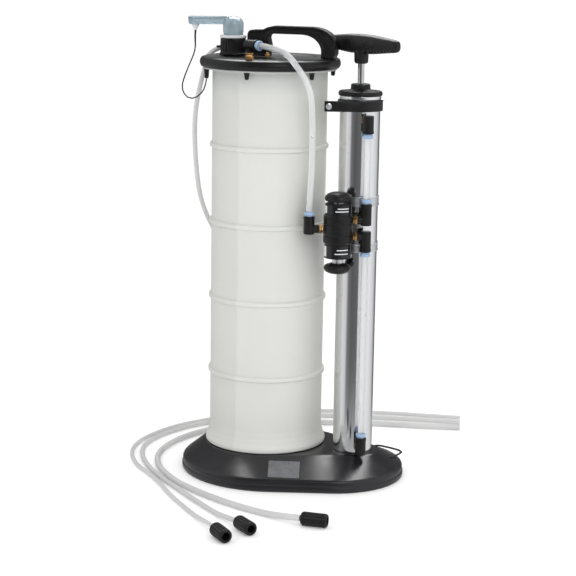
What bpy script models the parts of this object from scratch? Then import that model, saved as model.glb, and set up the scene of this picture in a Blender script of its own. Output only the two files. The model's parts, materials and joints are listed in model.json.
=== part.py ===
"""Fluid transfer pump: a tall reservoir and a hand pump side by side on one moulded base.

Sizes are in millimetres and are turned into metres as the meshes are made. +Z is up and the
origin is on the floor under the middle of the base. The reservoir stands at -X and the pump at
+X. The front, with the valve, faces -Y.
"""

import math

import bmesh
import bpy
from mathutils import Matrix, Vector

MM = 0.001
GAP = 0.3
SMOOTH_ANGLE = math.radians(35)

# Base
RIM_LEFT, RIM_LEFT_R = -30.0, 126.0
RIM_RIGHT, RIM_RIGHT_R = 57.0, 99.0
DECK_LEFT_R, DECK_RIGHT_R = 85.0, 34.0
DECK_Z = 38.0
BASE_WALL = 4.0
FOOT_WIDTH = 8.5

# Reservoir and lid
RESERVOIR_X = -41.0
RESERVOIR_R = 77.5
RESERVOIR_WALL = 2.5
RIB_R = 80.4
RESERVOIR_Z = DECK_Z + GAP
FLANGE_R = 90.0
FLANGE_Z = 552.7
FLANGE_TOP = 555.0
RIB_HEIGHTS = (140.2, 243.7, 347.2, 450.7)
LID_R = 94.6
LID_Z = FLANGE_TOP + 0.5
LID_TOP = 569.0
LID_CEILING = 563.5
SCREW_CIRCLE_R = 86.0
SCREW_COUNT = 6
LID_VENT = (-38.8, -83.0)

# Spout on the lid, its cap and the cap's lever
NECK = (-95.0, 0.0)
NECK_R = 17.5
NECK_BORE_R = 10.5
NECK_TOP = 591.5
CAP_R = 13.9
CAP_CENTRE_Z = 607.6
LEVER_LENGTH = 61.0
LEVER_HEADING = math.radians(200)
TETHER_R = 0.9

# Hose, clear tubes and their fittings
TUBE_R = 4.0
SOCKET_BORE_R = 4.4
SOCKET_R = 7.25
STEM_R = 6.3
COLLAR_LENGTH = 5.7
HOSE_PORT = (-103.5, 23.5)
HOSE_R = 3.2
COIL_CENTRE = (-73.0, 163.0)
COIL_MID_R = 32.0
PORT_HEADING = math.radians(-57)
CONNECTOR_R = 9.0
CONNECTOR_LENGTH = 34.0

# Pump
PUMP_X = 87.0
PUMP_R = 26.7
PUMP_BORE_R = 24.7
PUMP_TOP = 522.7
ROD_R = 4.25
ROD_BORE_R = 4.55
GRIP_Z = 590.0
GRIP_HALF = 71.0
GRIP_HEADING = math.radians(-30)

# Spool valve
VALVE = (76.4, -50.0)
VALVE_R = 19.6
VALVE_NECK_R = 17.6
SPOOL_R = 7.0
KNOB_R = 18.4
VALVE_PORT_HEADING = math.radians(20)

FINISHES = {
    "black_plastic": ((0.022, 0.022, 0.024), 0.0, 0.38, 1.0),
    "base_plastic": ((0.040, 0.041, 0.044), 0.0, 0.42, 1.0),
    "label_film": ((0.110, 0.112, 0.120), 0.0, 0.35, 1.0),
    "tank_plastic": ((0.780, 0.790, 0.760), 0.0, 0.45, 0.85),
    "clear_tube": ((0.840, 0.860, 0.880), 0.0, 0.20, 0.45),
    "clear_cap": ((0.420, 0.520, 0.570), 0.0, 0.15, 0.60),
    "white_rubber": ((0.760, 0.770, 0.780), 0.0, 0.50, 1.0),
    "black_rubber": ((0.018, 0.018, 0.018), 0.0, 0.60, 1.0),
    "blue_plastic": ((0.260, 0.440, 0.720), 0.0, 0.35, 1.0),
    "brass": ((0.560, 0.380, 0.160), 1.0, 0.30, 1.0),
    "polished_aluminium": ((0.780, 0.790, 0.800), 1.0, 0.16, 1.0),
    "chrome": ((0.720, 0.730, 0.740), 1.0, 0.10, 1.0),
    "zinc_steel": ((0.640, 0.650, 0.660), 1.0, 0.28, 1.0),
}


def clear_scene():
    for obj in list(bpy.data.objects):
        bpy.data.objects.remove(obj, do_unlink=True)


def finish(name):
    """The Principled material of that name, made the first time it is asked for."""
    made = bpy.data.materials.get(name)
    if made:
        return made
    colour, metallic, roughness, alpha = FINISHES[name]
    made = bpy.data.materials.new(name)
    made.use_nodes = True
    shader = made.node_tree.nodes["Principled BSDF"]
    shader.inputs["Base Color"].default_value = (*colour, 1.0)
    shader.inputs["Metallic"].default_value = metallic
    shader.inputs["Roughness"].default_value = roughness
    shader.inputs["Alpha"].default_value = alpha
    made.diffuse_color = (*colour, alpha)
    return made


def heading(angle):
    """The level unit vector at that angle from +X."""
    return Vector((math.cos(angle), math.sin(angle), 0.0))


def own_finish(name, slot):
    """A material of the node's own, copied from the finish it is named after."""
    made = finish(slot).copy()
    made.name = f"{name}_{slot}"
    return made


def add_object(name, bm, slot, at=(0, 0, 0), rotation=None):
    """Turns a bmesh in millimetres into an object at that place."""
    bmesh.ops.scale(bm, vec=(MM, MM, MM), verts=bm.verts)
    bmesh.ops.recalc_face_normals(bm, faces=bm.faces)
    mesh = bpy.data.meshes.new(name)
    bm.to_mesh(mesh)
    bm.free()
    mesh.shade_smooth()
    mesh.set_sharp_from_angle(angle=SMOOTH_ANGLE)
    obj = bpy.data.objects.new(name, mesh)
    obj.location = Vector(at) * MM
    if rotation is not None:
        obj.rotation_euler = rotation
    bpy.context.scene.collection.objects.link(obj)
    if slot:
        mesh.materials.append(own_finish(name, slot))
    return obj


def helper(obj):
    """Marks a cutter or a piece to be joined, so that it isn't a node."""
    obj.hide_render = True
    obj.display_type = "WIRE"
    return obj


def combine(target, other, operation):
    modifier = target.modifiers.new(f"{operation.lower()} {other.name}", "BOOLEAN")
    modifier.operation = operation
    modifier.solver = "EXACT"
    modifier.object = helper(other)


def turned(name, profile, slot, at=(0, 0, 0), direction=(0, 0, 1), steps=32, flute=None):
    """A turned piece. profile holds (radius, height) pairs, and flute = (depth, low, high)."""
    bm = bmesh.new()
    rings = []
    for radius, height in profile:
        if radius < 1e-6:
            rings.append([bm.verts.new((0.0, 0.0, height))])
            continue
        ring = []
        for step in range(steps):
            grooved = flute and flute[1] <= height <= flute[2] and step % 2
            reach = radius - flute[0] if grooved else radius
            turn = 2 * math.pi * step / steps
            ring.append(bm.verts.new((reach * math.cos(turn), reach * math.sin(turn), height)))
        rings.append(ring)
    pairs = list(zip(rings, rings[1:]))
    if len(rings[0]) > 1 and len(rings[-1]) > 1:
        pairs.append((rings[-1], rings[0]))
    for lower, upper in pairs:
        for step in range(steps):
            after = (step + 1) % steps
            corners = [lower[step % len(lower)], lower[after % len(lower)]]
            corners += [upper[after % len(upper)], upper[step % len(upper)]]
            bm.faces.new(list(dict.fromkeys(corners)))
    rotation = Vector((0, 0, 1)).rotation_difference(Vector(direction)).to_euler()
    return add_object(name, bm, slot, at, rotation)


def block(name, size, slot, at=(0, 0, 0), rotation=None, bevel=0.0):
    bm = bmesh.new()
    bmesh.ops.create_cube(bm, size=1.0)
    bmesh.ops.scale(bm, vec=size, verts=bm.verts)
    obj = add_object(name, bm, slot, at, rotation)
    if bevel:
        round_edges(obj, bevel)
    return obj


def round_edges(obj, width, segments=2):
    modifier = obj.modifiers.new("edge rounding", "BEVEL")
    modifier.width = width * MM
    modifier.segments = segments
    modifier.limit_method = "ANGLE"
    modifier.angle_limit = SMOOTH_ANGLE


def arc(centre, radii, start, end, count):
    """Points on an elliptical arc, from start to end degrees."""
    points = []
    for index in range(count):
        turn = math.radians(start + (end - start) * index / (count - 1))
        points.append((centre[0] + radii[0] * math.cos(turn), centre[1] + radii[1] * math.sin(turn)))
    return points


def upright_plate(name, outline, half_depth, slot, at=(0, 0, 0), turn=0.0, groove=None):
    """An outline of (x, z) points, given a depth along Y. groove = (margin, depth) sinks both faces."""
    bm = bmesh.new()
    sides = []
    for depth in (-half_depth, half_depth):
        sides.append([bm.verts.new((x, depth, z)) for x, z in outline])
    faces = [bm.faces.new(side) for side in sides]
    count = len(outline)
    for index in range(count):
        after = (index + 1) % count
        bm.faces.new((sides[0][index], sides[0][after], sides[1][after], sides[1][index]))
    bmesh.ops.recalc_face_normals(bm, faces=bm.faces)
    if groove:
        bmesh.ops.inset_region(bm, faces=faces, thickness=groove[0], depth=-0.001)
        bmesh.ops.inset_region(bm, faces=faces, thickness=0.6, depth=-groove[1])
    return add_object(name, bm, slot, at, (0, 0, turn))


def smooth_route(route, spacing):
    """Points about that far apart on a Catmull-Rom curve through the route's points."""
    points = [Vector(point) for point in route]
    ends = [2 * points[0] - points[1], *points, 2 * points[-1] - points[-2]]
    fine = []
    for before, start, end, after in zip(ends, ends[1:], ends[2:], ends[3:]):
        for index in range(24):
            t = index / 24
            bend = 2 * before - 5 * start + 4 * end - after
            twist = 3 * start - before - 3 * end + after
            fine.append((2 * start + (end - before) * t + bend * t * t + twist * t ** 3) / 2)
    fine.append(points[-1])
    lengths = [(b - a).length for a, b in zip(fine, fine[1:])]
    count = max(2, round(sum(lengths) / spacing))
    wanted = [sum(lengths) * index / count for index in range(count + 1)]
    kept = [fine[0]]
    walked = 0.0
    for start, end, length in zip(fine, fine[1:], lengths):
        while len(kept) < count and walked + length >= wanted[len(kept)]:
            share = (wanted[len(kept)] - walked) / length
            kept.append(start.lerp(end, share))
        walked += length
    return [*kept, fine[-1]]


def tube(name, route, radius, slot, spacing, bevel_resolution=2):
    """A solid round cord along the smooth curve through the route."""
    curve = bpy.data.curves.new(name, "CURVE")
    curve.dimensions = "3D"
    curve.bevel_depth = radius * MM
    curve.bevel_resolution = bevel_resolution
    curve.use_fill_caps = True
    spline = curve.splines.new("POLY")
    points = smooth_route(route, spacing)
    spline.points.add(len(points) - 1)
    for target, point in zip(spline.points, points):
        target.co = (*(point * MM), 1.0)
    curve.materials.append(own_finish(name, slot))
    obj = bpy.data.objects.new(name, curve)
    bpy.context.scene.collection.objects.link(obj)
    return obj


def moving_group(name, at, members):
    """Parents the pieces of a moving body to an empty on its joint's axis."""
    axis = bpy.data.objects.new(name, None)
    axis.location = Vector(at) * MM
    bpy.context.scene.collection.objects.link(axis)
    for member in members:
        member.parent = axis
        member.matrix_parent_inverse = Matrix.Translation(axis.location).inverted()


# Base


def base_ring(bm, left, right, height, inset=0.0):
    """The outline round two circles, as matching points at one height."""
    (left_x, left_r), (right_x, right_r) = left, right
    left_r -= inset
    right_r -= inset
    tangent = math.acos((left_r - right_r) / (right_x - left_x))
    points = []
    for index in range(11):
        turn = -tangent + 2 * tangent * index / 10
        points.append((right_x + right_r * math.cos(turn), right_r * math.sin(turn)))
    far_side = []
    for index in range(21):
        turn = tangent + 2 * (math.pi - tangent) * index / 20
        far_side.append((left_x + left_r * math.cos(turn), left_r * math.sin(turn)))
    for start, end, arc_points in ((points[-1], far_side[0], far_side), (far_side[-1], points[0], [])):
        for index in range(1, 3):
            share = index / 3
            points.append(tuple(a + (b - a) * share for a, b in zip(start, end)))
        points += arc_points
    return [bm.verts.new((x, y, height)) for x, y in points]


def make_base():
    rim = (RIM_LEFT, RIM_LEFT_R), (RIM_RIGHT, RIM_RIGHT_R)
    deck = (RESERVOIR_X, DECK_LEFT_R), (PUMP_X, DECK_RIGHT_R)
    bm = bmesh.new()
    rings = [
        base_ring(bm, *deck, DECK_Z - BASE_WALL, 2.0),
        base_ring(bm, *rim, 13.0, FOOT_WIDTH),
        base_ring(bm, *rim, 0.0, FOOT_WIDTH),
        base_ring(bm, *rim, 0.0, 1.2),
        base_ring(bm, *rim, 1.4),
        base_ring(bm, *rim, 7.6),
        base_ring(bm, *rim, 8.4, 1.1),
        base_ring(bm, *rim, 15.0, 1.1),
        base_ring(bm, *rim, 17.4, 3.0),
        base_ring(bm, *deck, 36.9, -2.6),
        base_ring(bm, *deck, DECK_Z),
    ]
    for lower, upper in zip(rings, rings[1:]):
        for index in range(len(lower)):
            after = (index + 1) % len(lower)
            bm.faces.new((lower[index], lower[after], upper[after], upper[index]))
    bm.faces.new(rings[0])
    bm.faces.new(rings[-1])
    base = add_object("base", bm, "base_plastic")
    slot_cutter = block("slot_cutter", (16, 4.5, 6), None, at=(96, -33, DECK_Z), rotation=(0, 0, 0.35))
    combine(base, slot_cutter, "DIFFERENCE")
    recess = block("label_recess_cutter", (42.8, 33.8, 2.4), None)
    recess.matrix_world = label_place()
    combine(base, recess, "DIFFERENCE")


def label_place():
    """Where the label lies on the base's front slope, as a matrix whose Z leaves the slope."""
    out = Vector((0.149, -0.389, 0.909)).normalized()
    along = Vector((0.951, 0.310, 0.0))
    along = (along - out * along.dot(out)).normalized()
    turn = Matrix((along, out.cross(along), out)).transposed().to_4x4()
    return Matrix.Translation(Vector((21.5, -93.4, 26.2)) * MM) @ turn


def make_label():
    plate = block("label_plate", (42.0, 33.0, 0.9), "label_film", bevel=0.25)
    plate.matrix_world = label_place() @ Matrix.Translation((0, 0, -0.4 * MM))


# Reservoir, lid and what closes it


def screw_places():
    """The lid's screws, counted from the front."""
    for index in range(SCREW_COUNT):
        turn = math.radians(-90 + 360 * index / SCREW_COUNT)
        yield RESERVOIR_X + SCREW_CIRCLE_R * math.cos(turn), SCREW_CIRCLE_R * math.sin(turn)


def drill(name, target, holes):
    """Cuts round holes along Z, each given as (x, y, radius, low, high)."""
    bm = bmesh.new()
    for x, y, radius, low, high in holes:
        place = Matrix.Translation((x, y, (low + high) / 2))
        sides = 24 if radius > 6 else 8
        bmesh.ops.create_cone(
            bm, cap_ends=True, segments=sides, radius1=radius, radius2=radius, depth=high - low, matrix=place
        )
    combine(target, add_object(name, bm, None), "DIFFERENCE")


def make_reservoir():
    outer = [(80.0, RESERVOIR_Z), (83.0, 41.0), (83.0, 50.0), (80.5, 55.5), (RESERVOIR_R, 59.0)]
    for height in RIB_HEIGHTS:
        outer += [(RESERVOIR_R, height - 4.2), (RIB_R, height - 1.8)]
        outer += [(RIB_R, height + 1.8), (RESERVOIR_R, height + 4.2)]
    outer += [(RESERVOIR_R, FLANGE_Z - 2), (79.5, FLANGE_Z), (FLANGE_R - 0.6, FLANGE_Z)]
    outer += [(FLANGE_R, FLANGE_Z + 0.6), (FLANGE_R, FLANGE_TOP)]
    bore = RESERVOIR_R - RESERVOIR_WALL
    floor = RESERVOIR_Z + 3.5
    inner = [(bore, FLANGE_TOP), (bore, floor + 4), (bore - 3, floor), (0, floor)]
    profile = [(0, RESERVOIR_Z), *outer, *inner]
    tank = turned("reservoir", profile, "tank_plastic", at=(RESERVOIR_X, 0, 0), steps=28)
    holes = [(x, y, 2.1, FLANGE_Z - 3, FLANGE_TOP + 3) for x, y in screw_places()]
    drill("flange_drill", tank, holes)


def make_lid():
    groove_in, groove_out, groove_top = 75.7, 81.3, LID_Z + 2.1
    profile = [
        (0, LID_TOP),
        (89.0, LID_TOP),
        (93.0, LID_TOP - 1.6),
        (LID_R, LID_TOP - 5.0),
        (LID_R, LID_Z + 2.5),
        (LID_R - 1.8, LID_Z),
        (groove_out, LID_Z),
        (groove_out, groove_top),
        (groove_in, groove_top),
        (groove_in, LID_Z),
        (74.5, LID_Z),
        (74.5, LID_Z - 6),
        (72.0, LID_Z - 6),
        (72.0, LID_CEILING),
        (0, LID_CEILING),
    ]
    lid = turned("lid", profile, "black_plastic", at=(RESERVOIR_X, 0, 0), steps=32)
    holes = [(x, y, 2.1, LID_Z - 3, LID_TOP - 5) for x, y in screw_places()]
    through = LID_CEILING - 3, LID_TOP + 3
    holes.append((*NECK, 13.0, *through))
    holes.append((*HOSE_PORT, 3.0, *through))
    holes.append((*LID_FITTING[:2], 3.0, *through))
    drill("lid_drill", lid, holes)
    seal = [(76.0, 555.3), (81.0, 555.3), (81.0, 557.3), (76.0, 557.3)]
    turned("lid_gasket", seal, "black_rubber", at=(RESERVOIR_X, 0, 0), steps=32)


def make_lid_vent():
    body = [(0, LID_TOP + GAP), (6.0, LID_TOP + GAP), (6.0, 573.2), (4.2, 574.8), (0, 574.8)]
    turned("lid_vent", body, "brass", at=(*LID_VENT, 0), steps=6)


def make_lid_screws():
    profile = [
        (0, 539.3),
        (2.2, 539.3),
        (3.5, 550.5),
        (3.5, FLANGE_Z - GAP),
        (1.75, FLANGE_Z - GAP),
        (1.75, 562.5),
        (0, 562.5),
    ]
    for number, (x, y) in enumerate(screw_places(), start=1):
        turned(f"lid_screw_{number}", profile, "black_plastic", at=(x, y, 0), steps=8)


def make_carry_handle():
    foot = LID_TOP + GAP
    outline = [(-72, foot), (-42, foot), (-40, 583), (-42.5, 594), (-38, 599.5), (5, 599.5)]
    outline += arc((5, 577.5), (28, 22), 70, 0, 5)
    outline += [(33, foot), (50, foot), (53, 576)]
    outline += arc((18, 586), (35, 24), 0, 90, 6)
    outline += [(-34, 610), (-43, 608), (-50, 604.5)]
    outline += arc((-65, 597), (7, 7), 90, 180, 3)
    handle = upright_plate("carry_handle", outline, 7.5, "black_plastic", groove=(2.6, 1.6))
    round_edges(handle, 1.5, 1)


def make_spout():
    profile = [
        (NECK_BORE_R, 560.5),
        (12.7, 560.5),
        (12.7, LID_TOP + GAP),
        (NECK_R + 0.8, LID_TOP + GAP),
        (NECK_R + 0.8, 571.5),
        (NECK_R, 572.0),
        (NECK_R, 588.0),
        (NECK_R - 0.9, NECK_TOP),
        (NECK_BORE_R, NECK_TOP),
    ]
    flute = 0.9, 571.9, 588.1
    neck = turned("spout_neck", profile, "black_plastic", at=(*NECK, 0), steps=32, flute=flute)
    side = Vector((*NECK, 580)) + heading(LEVER_HEADING) * 19.0
    tab = block("neck_tab", (7, 5, 3), None, at=side, rotation=(0, 0, LEVER_HEADING))
    combine(neck, tab, "UNION")
    low, high = NECK_TOP + GAP, NECK_TOP + 4.3
    ring = [(11.0, low), (18.0, low), (18.0, high), (11.0, high)]
    turned("neck_gasket", ring, "white_rubber", at=(*NECK, 0), steps=24)


def make_spout_cap():
    """The clear cap, whose plug stands in the neck and whose lever holds the tether."""
    seat = NECK_TOP + 4.3 + GAP
    profile = [(0, 588.0), (9.4, 588.0), (10.1, 589.5), (10.1, seat), (12.0, seat)]
    for angle in (-45, -20, 5, 30, 55):
        turn = math.radians(angle)
        profile.append((CAP_R * math.cos(turn), CAP_CENTRE_Z + CAP_R * math.sin(turn)))
    profile += [(4.0, 620.8), (0, 621.0)]
    cap = turned("spout_cap", profile, "clear_cap", at=(*NECK, 0), steps=20)
    outline = [(0, 609.8), (LEVER_LENGTH - 3, 609.5), (LEVER_LENGTH - 1, 611.0)]
    outline += [(LEVER_LENGTH, 619.0), (LEVER_LENGTH - 1, 620.0), (4, 620.3), (0, 618)]
    lever = upright_plate("cap_lever", outline, 6.0, None, at=(*NECK, 0), turn=LEVER_HEADING)
    round_edges(lever, 1.2, 1)
    combine(cap, lever, "UNION")
    end = Vector((*NECK, 0)) + heading(LEVER_HEADING) * 51.0
    cone = [(0, 601.7), (2.2, 601.7), (2.8, 604.5), (5.2, 609.2), (0, 609.2)]
    plug = turned("tether_plug", cone, "white_rubber", at=end, steps=16)
    moving_group("cap_lift_axis", (*NECK, seat), [cap, plug])


TETHER_ROUTE = [
    (-142.9, -17.4, 601.3),
    (-142.6, -19.3, 594),
    (-140.5, -25, 575),
    (-145.5, -33, 555),
    (-149, -39, 541),
    (-150, -45, 529),
    (-146, -49, 519),
    (-136, -51, 512.5),
    (-125, -48.5, 516),
    (-118, -45, 526),
    (-115.6, -43.1, 538.9),
]


# Inside the reservoir


def make_float_valve():
    x, y = LID_FITTING[:2]
    outer, inner, hole = 14.0, 12.0, 6.0
    cup = [
        (hole, 524.0),
        (outer, 524.0),
        (outer, LID_CEILING - GAP),
        (inner, LID_CEILING - GAP),
        (inner, 526.5),
        (hole, 526.5),
    ]
    cage = turned("float_cage", cup, "black_plastic", at=(x, y, 0), steps=16)
    for name, size in (("window_x_cutter", (40, 9, 26)), ("window_y_cutter", (9, 40, 26))):
        combine(cage, block(name, size, None, at=(x, y, 542)), "DIFFERENCE")
    ball_r, rest_z = 10.5, 535.6
    profile = [(0, rest_z - ball_r)]
    for index in range(1, 6):
        turn = math.pi * index / 6
        profile.append((ball_r * math.sin(turn), rest_z - ball_r * math.cos(turn)))
    profile.append((0, rest_z + ball_r))
    ball = turned("float_ball", profile, "white_rubber", at=(x, y, 0), steps=14)
    moving_group("float_rise_axis", (x, y, rest_z), [ball])


def make_pickup_tube():
    wall = [(3.0, 70.0), (TUBE_R, 70.0), (TUBE_R, LID_CEILING - GAP), (3.0, LID_CEILING - GAP)]
    turned("pickup_tube", wall, "clear_tube", at=(*HOSE_PORT, 0), steps=12)


# Push-fit fittings

UP, DOWN = Vector((0, 0, 1)), Vector((0, 0, -1))
LID_FITTING = (-60.0, -26.0, 584.5)
VALVE_SIDE = heading(VALVE_PORT_HEADING)
PORT_SIDE = heading(PORT_HEADING)


def on_valve(reach, height):
    return Vector((*VALVE, height)) + VALVE_SIDE * reach


def on_pump(reach, height):
    return Vector((PUMP_X, 0, height)) + PORT_SIDE * reach


VALVE_REACH = 36.4
PORT_REACH = 42.3
# Each elbow's corner, its socket's heading and length, then its stem's heading and length.
FITTINGS = {
    "lid_elbow": (Vector(LID_FITTING), heading(math.radians(-25)), 13.0, DOWN, 584.5 - LID_TOP - GAP),
    "valve_elbow_left": (on_valve(-38.4, 350), UP, 16.5, VALVE_SIDE, 38.4 - VALVE_R - GAP),
    "valve_elbow_upper": (on_valve(VALVE_REACH, 362.5), UP, 21.5, -VALVE_SIDE, VALVE_REACH - VALVE_R - GAP),
    "valve_elbow_lower": (on_valve(VALVE_REACH, 340.5), DOWN, 20.5, -VALVE_SIDE, VALVE_REACH - VALVE_R - GAP),
    "top_port_elbow": (on_pump(PORT_REACH, 492.5), DOWN, 16.5, -PORT_SIDE, PORT_REACH - PUMP_R - GAP),
    "bottom_port_elbow": (on_pump(PORT_REACH, 48.5), UP, 16.5, -PORT_SIDE, PORT_REACH - PUMP_R - GAP),
}


def make_fitting(name, corner, socket, socket_length, stem, stem_length):
    """An elbow with a bored socket along one heading, a solid stem along the other, and its collar."""
    bore_end = STEM_R + 1.2
    profile = [
        (0, -SOCKET_R),
        (SOCKET_R - 2.0, -SOCKET_R),
        (SOCKET_R, -SOCKET_R + 2.0),
        (SOCKET_R, socket_length),
        (SOCKET_BORE_R, socket_length),
        (SOCKET_BORE_R, bore_end),
        (0, bore_end),
    ]
    body = turned(name, profile, "black_plastic", at=corner, direction=socket, steps=14)
    rod = [(0, 0), (STEM_R, 0), (STEM_R, stem_length), (0, stem_length)]
    combine(body, turned(f"{name}_stem", rod, None, at=corner, direction=stem, steps=12), "UNION")
    low = socket_length + GAP
    ring = [
        (SOCKET_BORE_R, low),
        (5.6, low),
        (6.7, low + 1.8),
        (6.7, low + COLLAR_LENGTH),
        (SOCKET_BORE_R, low + COLLAR_LENGTH),
    ]
    turned(f"{name}_collar", ring, "blue_plastic", at=corner, direction=socket, steps=14)


def tube_seat(name, inside=0.5):
    """Where a tube's end stands in that fitting's socket."""
    corner, socket = FITTINGS[name][:2]
    return corner + socket * (STEM_R + 1.2 + inside)


def socket_mouth(name):
    corner, socket, length = FITTINGS[name][:3]
    return corner + socket * (length + GAP + COLLAR_LENGTH)


def make_clear_tubes():
    start, mouth = tube_seat("lid_elbow"), socket_mouth("lid_elbow")
    low_mouth, end = socket_mouth("valve_elbow_left"), tube_seat("valve_elbow_left")
    route = [
        start,
        mouth,
        mouth + FITTINGS["lid_elbow"][1] * 5,
        (-22.5, -43.5, 582.5),
        (-9.0, -54.3, 580.4),
        (5.9, -68.1, 577.6),
        (18.2, -78.2, 570.8),
        (28.1, -82.4, 561.0),
        (35.1, -80.4, 550.5),
        (39.5, -77.1, 540.0),
        (42.5, -74.5, 530.0),
        (44.0, -71.5, 515.0),
        (44.5, -68.0, 487.0),
        (43.5, -65.0, 441.0),
        (41.6, -63.4, 401.0),
        low_mouth + UP * 6,
        low_mouth,
        end,
    ]
    tube("transfer_tube", route, TUBE_R, "clear_tube", 12)
    for name, ends in (
        ("upper_pump_tube", ("valve_elbow_upper", "top_port_elbow")),
        ("lower_pump_tube", ("valve_elbow_lower", "bottom_port_elbow")),
    ):
        first, last = ends
        route = [tube_seat(first), socket_mouth(first), socket_mouth(last), tube_seat(last)]
        tube(name, route, TUBE_R, "clear_tube", 24)


# Main hose, which leaves the lid, hangs behind the reservoir and lies coiled on the floor

HOSE_HEADING = heading(math.radians(187))
HOSE_BARB_Z = 578.0
HOSE_ROUTE = [
    (-121.4, 21.3, 578.0),
    (-127, 20.6, 577.6),
    (-134, 19, 572.5),
    (-139, 17, 564),
    (-141, 13, 552),
    (-142.5, 8, 539),
    (-147, 0, 508),
    (-149, -4, 472),
    (-149, 0, 424),
    (-147, 8, 381),
    (-142.5, 18, 351),
    (-137, 29, 330),
    (-129, 44, 306),
    (-117, 61, 276),
    (-101, 76, 240),
    (-84, 88, 195),
    (-70, 96, 148),
    (-57, 106, 98),
    (-46, 119, 52),
    (-37.5, 131, 20),
    (-33.5, 142, 5.5),
    (-32.5, 149, 3.6),
]


def make_main_hose():
    foot = (*HOSE_PORT, LID_TOP + GAP)
    post = [(0, 0), (6.5, 0), (6.5, 3.0), (STEM_R, 3.4), (STEM_R, 14.6), (4.4, 16.2), (0, 16.2)]
    body = turned("hose_barb", post, "black_plastic", at=foot, steps=16)
    arm = [(0, 0), (4.8, 0), (4.8, 11.5), (3.4, 12.2), (3.0, 16.5), (0, 16.5)]
    corner = (*HOSE_PORT, HOSE_BARB_Z)
    combine(body, turned("barb_arm", arm, None, at=corner, direction=HOSE_HEADING, steps=14), "UNION")
    tube("main_hose", HOSE_ROUTE, HOSE_R, "clear_tube", 18)
    low, high = GAP, GAP + 4 * HOSE_R
    inner, outer, round_off = COIL_MID_R - 2 * HOSE_R, COIL_MID_R + 2 * HOSE_R, 2.0
    ring = [
        (inner + round_off, low),
        (outer - round_off, low),
        (outer, low + round_off),
        (outer, high - round_off),
        (outer - round_off, high),
        (inner + round_off, high),
        (inner, high - round_off),
        (inner, low + round_off),
    ]
    turned("hose_coil", ring, "clear_tube", at=(*COIL_CENTRE, 0), steps=24)
    lying = COIL_CENTRE[0] - COIL_MID_R, COIL_CENTRE[1], high + GAP + 7.0
    shell = [(0, -17), (6.0, -17), (7.0, -15), (7.0, 17), (1.9, 17), (1.9, 8), (0, 8)]
    turned("hose_connector", shell, "black_rubber", at=lying, direction=(0, -1, 0), steps=16)


# Suction tubes that lie on the floor, each with a connector on its near end

SUCTION_TUBES = {
    "left": {
        "radius": 2.75,
        "centre": (21.3, -315.4),
        "heading": math.radians(-44.6),
        "route": [
            (154, 333),
            (109, 325),
            (64, 317),
            (15, 306),
            (-42, 291),
            (-90, 270),
            (-131, 245),
            (-166, 212),
            (-200, 166),
            (-223, 128),
            (-238, 84),
            (-245, 37),
            (-240, -7),
            (-226, -43),
            (-201, -81),
            (-173, -109),
            (-146, -136),
            (-119, -168),
            (-97, -194),
            (-71, -221),
            (-42, -250),
            (-18, -274, 6.0),
        ],
    },
    "middle": {
        "radius": 3.25,
        "centre": (38.7, -278.9),
        "heading": math.radians(-39.6),
        "route": [
            (161, 305),
            (115, 297),
            (70, 288),
            (30, 279),
            (-20, 266),
            (-78, 244),
            (-140, 206),
            (-190, 154),
            (-214, 112),
            (-228, 66),
            (-231, 24),
            (-223, -14),
            (-208, -46),
            (-190, -73),
            (-171, -97),
            (-143, -126),
            (-108, -157),
            (-77, -185),
            (-49, -209),
            (-20, -233),
            (-1, -249, 5.8),
        ],
    },
    "right": {
        "radius": 4.0,
        "centre": (111.5, -225.3),
        "heading": math.radians(3.4),
        "route": [
            (169, 275),
            (124, 263),
            (80, 253),
            (40, 244),
            (-6, 228),
            (-28, 220),
            (-63, 214),
            (-103, 200),
            (-139, 168),
            (-174, 114),
            (-190, 74),
            (-197, 34),
            (-196, -8),
            (-186, -44),
            (-168, -79),
            (-146, -107),
            (-118, -134),
            (-79, -161),
            (-37, -184),
            (2, -201),
            (40, -213),
            (62, -220.5, 6.6),
        ],
    },
}


def make_suction_tubes():
    half = CONNECTOR_LENGTH / 2
    profile = [
        (0, -half),
        (7.0, -half),
        (CONNECTOR_R, -half + 2.5),
        (CONNECTOR_R, half - 2.0),
        (8.0, half),
        (1.9, half),
        (1.9, half - 9),
        (0, half - 9),
    ]
    for side, facts in SUCTION_TUBES.items():
        along = heading(facts["heading"])
        centre = Vector((*facts["centre"], CONNECTOR_R + 0.1))
        flute = 0.6, -half + 2.4, half - 1.9
        turned(f"{side}_connector", profile, "black_rubber", centre, along, steps=16, flute=flute)
        rest = facts["radius"] + 0.4
        route = [point if len(point) == 3 else (*point, rest) for point in facts["route"]]
        route += [centre - along * (half + reach) for reach in (15.0, 1.2)]
        spacing = max(14, 3 * 2 * facts["radius"])
        tube(f"{side}_suction_tube", route, facts["radius"], "clear_tube", spacing)


# Pump


def make_pump_cylinder():
    bottom = DECK_Z + GAP
    profile = [
        (0, bottom),
        (PUMP_R, bottom),
        (PUMP_R, 517.8),
        (27.6, 518.4),
        (27.6, PUMP_TOP),
        (PUMP_BORE_R, PUMP_TOP),
        (PUMP_BORE_R, bottom + 8),
        (0, bottom + 8),
    ]
    turned("pump_cylinder", profile, "polished_aluminium", at=(PUMP_X, 0, 0), steps=28)
    cap = [
        (ROD_BORE_R, 512.0),
        (24.4, 512.0),
        (24.4, PUMP_TOP + GAP),
        (29.3, PUMP_TOP + GAP),
        (29.3, 527.6),
        (27.4, 529.4),
        (13.2, 530.6),
        (12.4, 538.0),
        (ROD_BORE_R, 538.0),
    ]
    pump_cap = turned("pump_cap", cap, "black_plastic", at=(PUMP_X, 0, 0), steps=28)
    lug = block("cap_lug", (9, 6, 9), None, at=(PUMP_X + 4.4, -12.0, 533), rotation=(0, 0, 0.35))
    combine(pump_cap, lug, "UNION")


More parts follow.
